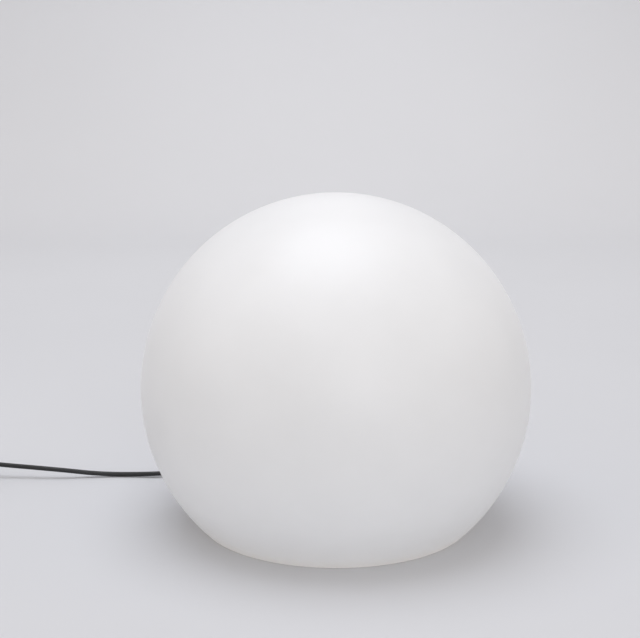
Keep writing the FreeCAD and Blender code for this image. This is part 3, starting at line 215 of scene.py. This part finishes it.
def mouldedPlastic(name, colour, patchColour, grainMm, depthMm, roughness, ior=1.5):
    patches = {"sizeMm": 24, "range": (0.35, 0.65)}
    material, shader, place = startMaterial(name, colour, roughness[0], IOR=ior)
    tones = list(zip(patches["range"], (patchColour, colour)))
    mouldedSkin(material, shader, place, grainMm, depthMm, patches["sizeMm"], roughness, tones)
    return material


def leadRubber():
    # extruded chloroprene sheath: black, satin, with a fine bloom and faint dust from the ground
    look = {"colour": "17181A", "tones": [(0.3, "141517"), (0.72, "232426")], "grainMm": 0.7,
            "depthMm": 0.04, "patchMm": 18, "roughness": (0.42, 0.62), "ior": 1.52}
    material, shader, place = startMaterial(
        "extruded chloroprene rubber", look["colour"], look["roughness"][0], IOR=look["ior"])
    mouldedSkin(material, shader, place, look["grainMm"], look["depthMm"], look["patchMm"],
                look["roughness"], look["tones"])
    return material


def closedCellFoam():
    # expanded rubber sheet: matt, with small cut cells whose hollows are painted darker as shade
    look = {"colour": "3A3B3C", "tones": [(0.05, "202122"), (0.45, "444547")], "roughness": 0.9,
            "ior": 1.5, "cellMm": 0.9, "cellDepth": 0.0003, "strength": 0.8}
    material, shader, place = startMaterial(
        "closed-cell EPDM foam", look["colour"], look["roughness"], IOR=look["ior"])
    cells = addNode(material, "ShaderNodeTexVoronoi", inputs={
        "Vector": place, "Scale": 1000 / look["cellMm"]}).outputs["Distance"]
    # painted shade: the darker tone lies at each cell's middle, where the bump sinks its hollow
    # deepest
    tone = addNode(material, "ShaderNodeValToRGB", {"stops": look["tones"]}, {"Fac": cells})
    bump = addNode(material, "ShaderNodeBump", inputs={
        "Height": cells, "Distance": look["cellDepth"], "Strength": look["strength"]})
    material.node_tree.links.new(tone.outputs[0], shader.inputs["Base Color"])
    material.node_tree.links.new(bump.outputs[0], shader.inputs["Normal"])
    return material


def wireInsulation():
    # the cord's two cores: brown on the right of the terminals, blue on the left, glossy PVC
    look = {"left": "2450A4", "right": "5A3420", "middle": 0.0, "roughness": 0.3, "ior": 1.53}
    material, shader, place = startMaterial(
        "two-colour PVC insulation", look["right"], look["roughness"], IOR=look["ior"])
    across = addNode(material, "ShaderNodeSeparateXYZ", inputs={"Vector": place}).outputs["X"]
    pick = addNode(material, "ShaderNodeMath", {"operation": "GREATER_THAN"},
                   {0: across, 1: look["middle"]})
    tone = addNode(material, "ShaderNodeValToRGB",
                   {"stops": [(0.0, look["left"]), (1.0, look["right"])]}, {"Fac": pick.outputs[0]})
    material.node_tree.links.new(tone.outputs[0], shader.inputs["Base Color"])
    return material


def workedMetal(name, colour, darkColour, roughness, lineMm, depthMm, acrossZ=True):
    # metal with the marks of its making: fine lines round a turned part or along a rolled one
    marks = {"stretch": 14, "lineDetail": 4, "strength": 0.5, "stainMm": 7, "stainDetail": 3,
             "stainRange": (0.3, 0.65)}
    material, shader, place = startMaterial(name, colour, roughness[0], Metallic=1.0)
    stretch = (1, 1, marks["stretch"]) if acrossZ else (marks["stretch"], 1, 1)
    stretched = addNode(material, "ShaderNodeMapping", inputs={"Vector": place, "Scale": stretch})
    lines = addNode(material, "ShaderNodeTexNoise", inputs={
        "Vector": stretched.outputs[0], "Scale": 1000 / (lineMm * marks["stretch"]),
        "Detail": marks["lineDetail"]})
    stains = addNode(material, "ShaderNodeTexNoise", inputs={
        "Vector": place, "Scale": 1000 / marks["stainMm"], "Detail": marks["stainDetail"]})
    tones = list(zip(marks["stainRange"], (darkColour, colour)))
    addSkin(material, shader, lines.outputs[0], depthMm, marks["strength"],
            stains.outputs[0], roughness, tones)
    return material


def glazedPorcelain():
    # steatite block under a thin clear glaze, with a few iron specks
    look = {"colour": "EDEAE0", "speck": "A69C88", "speckMm": 2.5, "speckRange": (0.06, 0.12),
            "roughness": 0.22, "ior": 1.54, "glaze": 0.5, "glazeRoughness": 0.12}
    material, shader, place = startMaterial(
        "glazed steatite", look["colour"], look["roughness"], IOR=look["ior"],
        Coat_Weight=look["glaze"], Coat_Roughness=look["glazeRoughness"])
    specks = addNode(material, "ShaderNodeTexVoronoi", inputs={
        "Vector": place, "Scale": 1000 / look["speckMm"]}).outputs["Distance"]
    tones = list(zip(look["speckRange"], (look["speck"], look["colour"])))
    tone = addNode(material, "ShaderNodeValToRGB", {"stops": tones}, {"Fac": specks})
    material.node_tree.links.new(tone.outputs[0], shader.inputs["Base Color"])
    return material


def circuitBoard():
    # glass-fibre board under a green solder mask, the weave just showing through
    look = {"colour": "1E5A38", "weave": ("1B5233", "246843"), "weaveMm": 1.6,
            "roughness": 0.35, "ior": 1.5}
    material, shader, place = startMaterial(
        "solder-masked FR4", look["colour"], look["roughness"], IOR=look["ior"])
    weave = addNode(material, "ShaderNodeTexChecker", inputs={
        "Vector": place, "Scale": 1000 / look["weaveMm"],
        "Color1": linear(look["weave"][0]), "Color2": linear(look["weave"][1])})
    material.node_tree.links.new(weave.outputs[0], shader.inputs["Base Color"])
    return material


materials = {
    "opal_polyethylene": opalPolyethylene(),
    # polypropylene, textured by spark erosion of the tool
    "black_polypropylene": mouldedPlastic(
        "moulded polypropylene", "222325", "1C1D1E", grainMm=0.9, depthMm=0.05,
        roughness=(0.45, 0.58)),
    "grey_foam_rubber": closedCellFoam(),
    # compression-moulded nitrile: matt, a trace of bloom
    "black_rubber": mouldedPlastic(
        "moulded nitrile rubber", "1B1B1C", "262626", grainMm=0.6, depthMm=0.03,
        roughness=(0.62, 0.78), ior=1.52),
    "brass": workedMetal(
        "turned brass", "C8A65A", "B08D45", roughness=(0.22, 0.34), lineMm=0.25, depthMm=0.01),
    "stainless_steel": workedMetal(
        "cold-rolled stainless steel", "C2C1BC", "AFAEA9", roughness=(0.26, 0.38), lineMm=0.2,
        depthMm=0.006, acrossZ=False),
    "zinc_steel": workedMetal(
        "zinc-plated steel", "BEC3CA", "A6ABB3", roughness=(0.3, 0.45), lineMm=0.3, depthMm=0.01),
    # glass-filled polyamide: a dry satin
    "black_polyamide": mouldedPlastic(
        "moulded polyamide", "1D1E20", "28292B", grainMm=0.5, depthMm=0.02,
        roughness=(0.38, 0.5), ior=1.53),
    "white_polyamide": mouldedPlastic(
        "natural polyamide", "E4E1D6", "DAD6C9", grainMm=0.8, depthMm=0.02,
        roughness=(0.36, 0.46), ior=1.53),
    "cord_rubber": leadRubber(),
    "core_insulation": wireInsulation(),
    "brown_insulation": mouldedPlastic(
        "brown PVC insulation", "5A3420", "4B2A19", grainMm=1.2, depthMm=0.01,
        roughness=(0.26, 0.36), ior=1.53),
    "blue_insulation": mouldedPlastic(
        "blue PVC insulation", "2450A4", "1D438E", grainMm=1.2, depthMm=0.01,
        roughness=(0.26, 0.36), ior=1.53),
    # polyester lampholder parts: hard, glossy, slightly warm white
    "white_thermoplastic": mouldedPlastic(
        "moulded PBT polyester", "E9E8E1", "E1DFD6", grainMm=2.0, depthMm=0.015,
        roughness=(0.24, 0.34), ior=1.55),
    "porcelain": glazedPorcelain(),
    "phosphor_bronze": workedMetal(
        "phosphor bronze strip", "C08A5C", "A87548", roughness=(0.24, 0.36), lineMm=0.2,
        depthMm=0.006, acrossZ=False),
    "solder_tin": workedMetal(
        "tin solder", "C9CAC6", "AEB0AC", roughness=(0.2, 0.42), lineMm=0.9, depthMm=0.05),
    # the glass between contact and cap
    "black_glass": mouldedPlastic(
        "black vitrite glass", "0E0E10", "17171A", grainMm=3.0, depthMm=0.02,
        roughness=(0.1, 0.2), ior=1.52),
    "nickel_plated_brass": workedMetal(
        "nickel-plated brass", "CFCBC1", "BBB6AA", roughness=(0.16, 0.28), lineMm=0.25,
        depthMm=0.006),
    "white_bulb_plastic": mouldedPlastic(
        "white polycarbonate", "EFEFEC", "E8E8E4", grainMm=1.8, depthMm=0.015,
        roughness=(0.26, 0.36), ior=1.585),
    "circuit_board": circuitBoard(),
    # aluminium board under white solder mask
    "led_board": mouldedPlastic(
        "white solder mask", "F0F0EC", "E6E6E1", grainMm=1.2, depthMm=0.01,
        roughness=(0.3, 0.42)),
    # silicone with phosphor powder, poured on each diode
    "led_phosphor": mouldedPlastic(
        "phosphor in silicone", "E8C74A", "DDB93A", grainMm=0.3, depthMm=0.01,
        roughness=(0.3, 0.45), ior=1.43),
    "opal_bulb_plastic": opalPolycarbonate(),
    # PVC moulded round the cord's end, lightly textured
    "plug_rubber": mouldedPlastic(
        "moulded PVC", "1A1B1C", "242526", grainMm=0.7, depthMm=0.04,
        roughness=(0.44, 0.56), ior=1.53),
}
for node in nodes.values():
    for slot in node.material_slots:
        slot.material = materials[slot.material.name.split(".")[0]]
print("materials made:", len(materials))


# the lead comes straight out of the gland, lies over the ground in loose bends, ends in a coil
# and from there runs into the plug, which lies along y beside the coil
lead = {"diameter": 0.0065, "length": 3.06, "pointsPerTurn": 24, "roundSteps": 5, "bendSteps": 6}
coil = {"centre": (-0.552, 0.119), "midRadius": 0.0355, "step": 0.007, "layers": 4,
        "turns": 10.25, "dropTurns": 0.5, "floorGap": 0.00005,
        "straightIn": (0.0325, 0.0065), "straightOut": (0.0065, 0.0225)}
plug = {"start": 0.030, "root": -0.006, "neckEnd": -0.022, "face": -0.050, "level": 0.01275}
leadStart = (0, 0.1025, 0.015)
leadRoute = [(0, 0.128, 0.015), (0.0008, 0.160, 0.009), (-0.001, 0.196, 0.0033),
             (-0.023, 0.230, 0.0033), (-0.061, 0.247, 0.0033), (-0.105, 0.243, 0.0033),
             (-0.148, 0.221, 0.0033), (-0.189, 0.190, 0.0033), (-0.240, 0.162, 0.0062),
             (-0.300, 0.167, 0.0033), (-0.342, 0.165, 0.0052), (-0.384, 0.159, 0.012),
             (-0.430, 0.160, 0.016), (-0.478, 0.165, 0.0185)]
leadEnd = [(-0.0015, 0.078, 0.0053), (0, 0.050, plug["level"]),
           (0, plug["start"], plug["level"])]  # x from the plug's middle
layerTurns = coil["turns"] / coil["layers"]
outerRadius = coil["midRadius"] + coil["step"] * layerTurns / 2
coilFloor = lead["diameter"] / 2 + coil["floorGap"]
coilTop = coilFloor + coil["step"] * (coil["layers"] - 1)
plugX = coil["centre"][0] - outerRadius


def coilPoint(turns):
    # from the top layer's outside in, down a layer, out again, and so on
    layer = min(int(turns / layerTurns), coil["layers"] - 1)
    along = turns - layer * layerTurns
    inward = along if layer % 2 == 0 else layerTurns - along
    drop = 0
    for change in range(1, coil["layers"]):
        part = (turns - change * layerTurns) / coil["dropTurns"] + 0.5
        drop += coil["step"] * smoothStep(min(max(part, 0), 1))
    # a control point sits a little outside the turn that it bends
    radius = (outerRadius - coil["step"] * inward) / cos(pi / lead["pointsPerTurn"])
    angle = pi / 2 + 2 * pi * turns
    return Vector((coil["centre"][0] + radius * cos(angle),
                   coil["centre"][1] + radius * sin(angle), coilTop - drop))


north = Vector((coil["centre"][0], coil["centre"][1] + outerRadius, coilTop))
west = Vector((plugX, coil["centre"][1], coilFloor))
turnCount = int(coil["turns"] * lead["pointsPerTurn"])
points = [Vector(leadStart)] + [Vector(place) for place in leadRoute]
points += [north + Vector((before, 0, 0)) for before in coil["straightIn"]]
points += [coilPoint((number + 0.5) / lead["pointsPerTurn"]) for number in range(turnCount)]
points += [west - Vector((0, after, 0)) for after in coil["straightOut"]]
points += [Vector((plugX + x, y, z)) for x, y, z in leadEnd]
leadCurve = bpy.data.curves.new("rubber_lead", "CURVE")
leadCurve.dimensions = "3D"
leadCurve.bevel_depth = lead["diameter"] / 2
leadCurve.bevel_resolution = lead["roundSteps"]
leadCurve.resolution_u = lead["bendSteps"]
leadCurve.use_fill_caps = True
leadCurve.materials.append(materials["cord_rubber"])
line = leadCurve.splines.new("NURBS")
line.points.add(len(points) - 1)
for point, place in zip(line.points, points):
    point.co = (*place, 1)
line.order_u = 3
line.use_endpoint_u = True
leadPiece = addObject("rubber_lead", leadCurve)
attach(leadPiece, "base")
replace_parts(leadPiece, "cord_run", "cord_coil", "cord_end")
print("lead laid out with", len(points), "points")


def slotCorners(start, end, startRadius, endRadius, look):
    # a slot between two rings of a bending sleeve, with sloped sides
    depth, slope = look["slotDepth"], look["slotSlope"]
    return [(start, startRadius), (start + slope, startRadius - depth),
            (end, endRadius - depth), (end + slope, endRadius)]


def plugBody():
    # each section is the last one pulled on and scaled, from the neck to the face with the pins
    look = {"halfWidth": 0.0176, "halfHeight": 0.0127, "cornerShare": 0.62, "cornerSteps": 8,
            "neckHalf": 0.009, "neckRim": 0.0008, "neckSteps": 5,
            "grooves": 5, "grooveDepth": 0.0007, "grooveShares": (0.45, 0.6, 0.8, 0.95),
            "plainAtFace": 0.007, "faceEdge": [(0.0015, 0), (0.0005, 0.0004), (0, 0.0015)],
            "smoothAngle": 28}
    neck, shoulder, front = plug["root"], plug["neckEnd"], plug["face"]
    wide, high, small = look["halfWidth"], look["halfHeight"], look["neckHalf"]
    rim, deep = look["neckRim"], look["grooveDepth"]
    sections = [(neck, small - rim, small - rim), (neck - rim, small, small)]
    for step in range(look["neckSteps"]):
        part = (step + 1) / look["neckSteps"]
        sections.append((neck - rim + (shoulder - neck) * part,
                         small + (wide - small) * smoothStep(part),
                         small + (high - small) * smoothStep(part)))
    groove = (front + look["plainAtFace"] - shoulder) / look["grooves"]
    for number in range(look["grooves"]):
        for share, inward in zip(look["grooveShares"], (0, deep, deep, 0)):
            sections.append((shoulder + groove * number + groove * share,
                             wide - inward, high - inward))
    sections += [(front + back, wide - inward, high - inward) for back, inward in look["faceEdge"]]
    mesh = bmesh.new()
    bmesh.ops.create_grid(mesh, x_segments=1, y_segments=1, size=1)
    upright = Matrix.Rotation(radians(90), 3, "X")
    bmesh.ops.rotate(mesh, verts=mesh.verts, cent=(0, 0, 0), matrix=upright)
    bmesh.ops.bevel(mesh, geom=mesh.verts, offset=look["cornerShare"], affect="VERTICES",
                    segments=look["cornerSteps"], profile=0.5, material=-1)
    bmesh.ops.scale(mesh, verts=mesh.verts, vec=(sections[0][1], 1, sections[0][2]))
    bmesh.ops.translate(mesh, verts=mesh.verts, vec=(0, sections[0][0], 0))
    end = mesh.faces[:]
    for last, section in zip(sections, sections[1:]):
        pulled = bmesh.ops.extrude_face_region(mesh, geom=end)
        if last is not sections[0]:  # the first face stays as the end at the cord
            bmesh.ops.delete(mesh, geom=end, context="FACES_ONLY")
        end = [item for item in pulled["geom"] if isinstance(item, bmesh.types.BMFace)]
        corners = [item for item in pulled["geom"] if isinstance(item, bmesh.types.BMVert)]
        bmesh.ops.scale(mesh, verts=corners, vec=(section[1] / last[1], 1, section[2] / last[2]))
        bmesh.ops.translate(mesh, verts=corners, vec=(0, section[0] - last[0], 0))
    bmesh.ops.translate(mesh, verts=mesh.verts, vec=(plugX, 0, plug["level"]))
    bmesh.ops.recalc_face_normals(mesh, faces=mesh.faces)
    return finishPiece(mesh, "moulded_plug", "base", materials["plug_rubber"], look["smoothAngle"])


def plugBoot():
    # rings that let the boot bend, thick at the plug and thin at the cord
    look = {"thick": 0.008, "thin": 0.0042, "rings": 6, "ringedShare": 0.82, "firstSlot": 0.004,
            "slotShare": 0.34, "slotDepth": 0.0009, "slotSlope": 0.0004, "taperShare": 0.45,
            "tipLength": 0.0006, "tipInward": 0.0005, "steps": 48}
    thick, thin = look["thick"], look["thin"]
    long = plug["start"] - plug["root"]
    outline = [(0, 0), (0, thick)]
    ring = long * look["ringedShare"] / look["rings"]
    for number in range(look["rings"]):
        start = look["firstSlot"] + ring * number
        startRadius, endRadius = [thick + (thin - thick) * (start + ring * share) / long
                                  for share in (0, look["taperShare"])]
        end = start + ring * look["slotShare"]
        outline += slotCorners(start, end, startRadius, endRadius, look)
    outline += [(long - look["tipLength"], thin), (long, thin - look["tipInward"]), (long, 0)]
    return spunPiece(outline, "plug_boot_rings", "base", materials["plug_rubber"],
                     (plugX, plug["root"], plug["level"]), (0, 1, 0), look["steps"])


def plugPin(side, name):
    # a narrower root in the moulding, and a rounded tip: (distance from the end, share of radius)
    look = {"radius": 0.0024, "length": 0.019, "spread": 0.0095, "rootDepth": 0.004,
            "rootShare": 0.75, "tip": [(0.0024, 1), (0.0012, 0.9), (0.0004, 0.68), (0, 0.4)],
            "steps": 40}
    radius, long = look["radius"], look["length"]
    root = radius * look["rootShare"]
    outline = [(-look["rootDepth"], 0), (-look["rootDepth"], root), (0, root), (0, radius)]
    outline += [(long - back, radius * share) for back, share in look["tip"]] + [(long, 0)]
    return spunPiece(outline, name, "base", materials["nickel_plated_brass"],
                     (plugX + side * look["spread"], plug["face"], plug["level"]), (0, -1, 0),
                     look["steps"])


moulding, boot = plugBody(), plugBoot()
pins = [plugPin(1, "plug_pin_right"), plugPin(-1, "plug_pin_left")]
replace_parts(moulding, "plug_body")
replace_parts(boot, "plug_boot")
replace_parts(pins[0], "plug_pins")
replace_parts(pins[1], "plug_pins")
print("plug made")


def kinkSleeve():
    # the gland's rubber seal runs on past the nut as a ringed taper, to where the lead comes out
    look = {"start": 0.063, "seatEnd": 0.069, "nutEnd": 0.0775, "bore": 0.00325,
            "seatRadius": 0.005, "nutRadius": 0.0046, "tipRadius": 0.0041, "tipInward": 0.0002,
            "rings": 5, "plainEnd": 0.0015, "slotShare": 0.35, "slotDepth": 0.0005,
            "slotSlope": 0.0003, "steps": 40}
    seat, wide, thin = look["seatRadius"], look["nutRadius"], look["tipRadius"]
    end, level = leadStart[1:]
    seatLength, nutLength = look["seatEnd"] - look["start"], look["nutEnd"] - look["start"]
    long = end - look["start"]
    outline = [(0, look["bore"]), (0, seat), (seatLength, seat), (nutLength, wide)]
    ring = (end - look["nutEnd"] - 2 * look["plainEnd"]) / look["rings"]
    for number in range(look["rings"]):
        start = nutLength + look["plainEnd"] + ring * number
        radius = wide + (thin - wide) * (number + 0.5) / look["rings"]
        outline += slotCorners(start, start + ring * look["slotShare"], radius, radius, look)
    outline += [(long, thin - look["tipInward"]), (long, look["bore"])]
    return spunPiece(outline, "kink_sleeve", "base", materials["black_rubber"],
                     (0, look["start"], level), (0, 1, 0), look["steps"])


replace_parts(kinkSleeve(), "gland_seal")
print("kink sleeve made")


def backdropPaper():
    # matt backdrop paper, with a tooth too fine to see
    look = {"colour": "D5D7DB", "tones": [(0.3, "D4D6DA"), (0.7, "D6D8DC")], "grainMm": 2,
            "depthMm": 0.05, "patchMm": 700, "roughness": (0.82, 0.88), "ior": 1.45}
    material, shader, place = startMaterial(
        "matt backdrop paper", look["colour"], look["roughness"][0], IOR=look["ior"])
    mouldedSkin(material, shader, place, look["grainMm"], look["depthMm"], look["patchMm"],
                look["roughness"], look["tones"])
    return material


def backdropSheet():
    # one sheet of paper: flat floor, a wide curve, an upright back
    look = {"front": -10.0, "back": 3.2, "side": 10.0, "wall": 6.0, "curve": 0.9, "curveSteps": 24}
    halfDepth, middle = (look["back"] - look["front"]) / 2, (look["back"] + look["front"]) / 2
    mesh = bmesh.new()
    bmesh.ops.create_grid(mesh, x_segments=1, y_segments=1, size=1)
    bmesh.ops.scale(mesh, verts=mesh.verts, vec=(look["side"], halfDepth, 1))
    bmesh.ops.translate(mesh, verts=mesh.verts, vec=(0, middle, 0))
    rear = [edge for edge in mesh.edges if all(corner.co.y > middle for corner in edge.verts)]
    pulled = bmesh.ops.extrude_edge_only(mesh, edges=rear)
    upper = [item for item in pulled["geom"] if isinstance(item, bmesh.types.BMVert)]
    bmesh.ops.translate(mesh, verts=upper, vec=(0, 0, look["wall"]))
    bmesh.ops.bevel(mesh, geom=rear, offset=look["curve"], affect="EDGES",
                    segments=look["curveSteps"], profile=0.5, material=-1)
    sheet = meshObject(mesh, "backdrop", backdropPaper())


def areaLamp(name, look):
    light = bpy.data.lights.new(name, "AREA")
    light.shape = "DISK"
    light.size = look["size"]
    light.energy = look["power"]
    light.color = linear(look["colour"])[:3]
    lamp = addObject(name, light)
    lamp.location = look["place"]
    toTarget = Vector(look["target"]) - Vector(look["place"])
    lamp.rotation_euler = toTarget.to_track_quat("-Z", "Y").to_euler()


lamps = {"top_softbox": {"power": 52, "size": 2.8, "colour": "F0F5FF",
                         "place": (-0.26, 0.1, 3.5), "target": (0, 0, 0.2)},
         "front_softbox": {"power": 25, "size": 2.0, "colour": "F6F9FF",
                           "place": (1.15, -4.2, 1.25), "target": (0, 0, 0.2)},
         "wall_softbox": {"power": 10, "size": 1.0, "colour": "FFFFFF",
                          "place": (0.1, 2.0, 2.4), "target": (0.1, 3.2, 0.9)}}
backdropSheet()
for name, look in lamps.items():
    areaLamp(name, look)
sky = {"colour": "FFF7F0", "strength": 0.69}
world = bpy.data.worlds.new("studio")
world.use_nodes = True
background = world.node_tree.nodes["Background"]
background.inputs["Color"].default_value = linear(sky["colour"])
background.inputs["Strength"].default_value = sky["strength"]
bpy.context.scene.world = world

view = {"lens": 78.75, "sensor": 36, "place": (-0.0203, -1.750, 0.647), "pitch": 12.23}
cameraData = bpy.data.cameras.new("photograph")
cameraData.sensor_width = view["sensor"]
cameraData.lens = view["lens"]
camera = addObject("photograph", cameraData)
camera.location = view["place"]
camera.rotation_euler = (radians(90 - view["pitch"]), 0, 0)
bpy.context.scene.camera = camera
bpy.context.scene.view_settings.view_transform = "Standard"
print("floor, light and camera set")
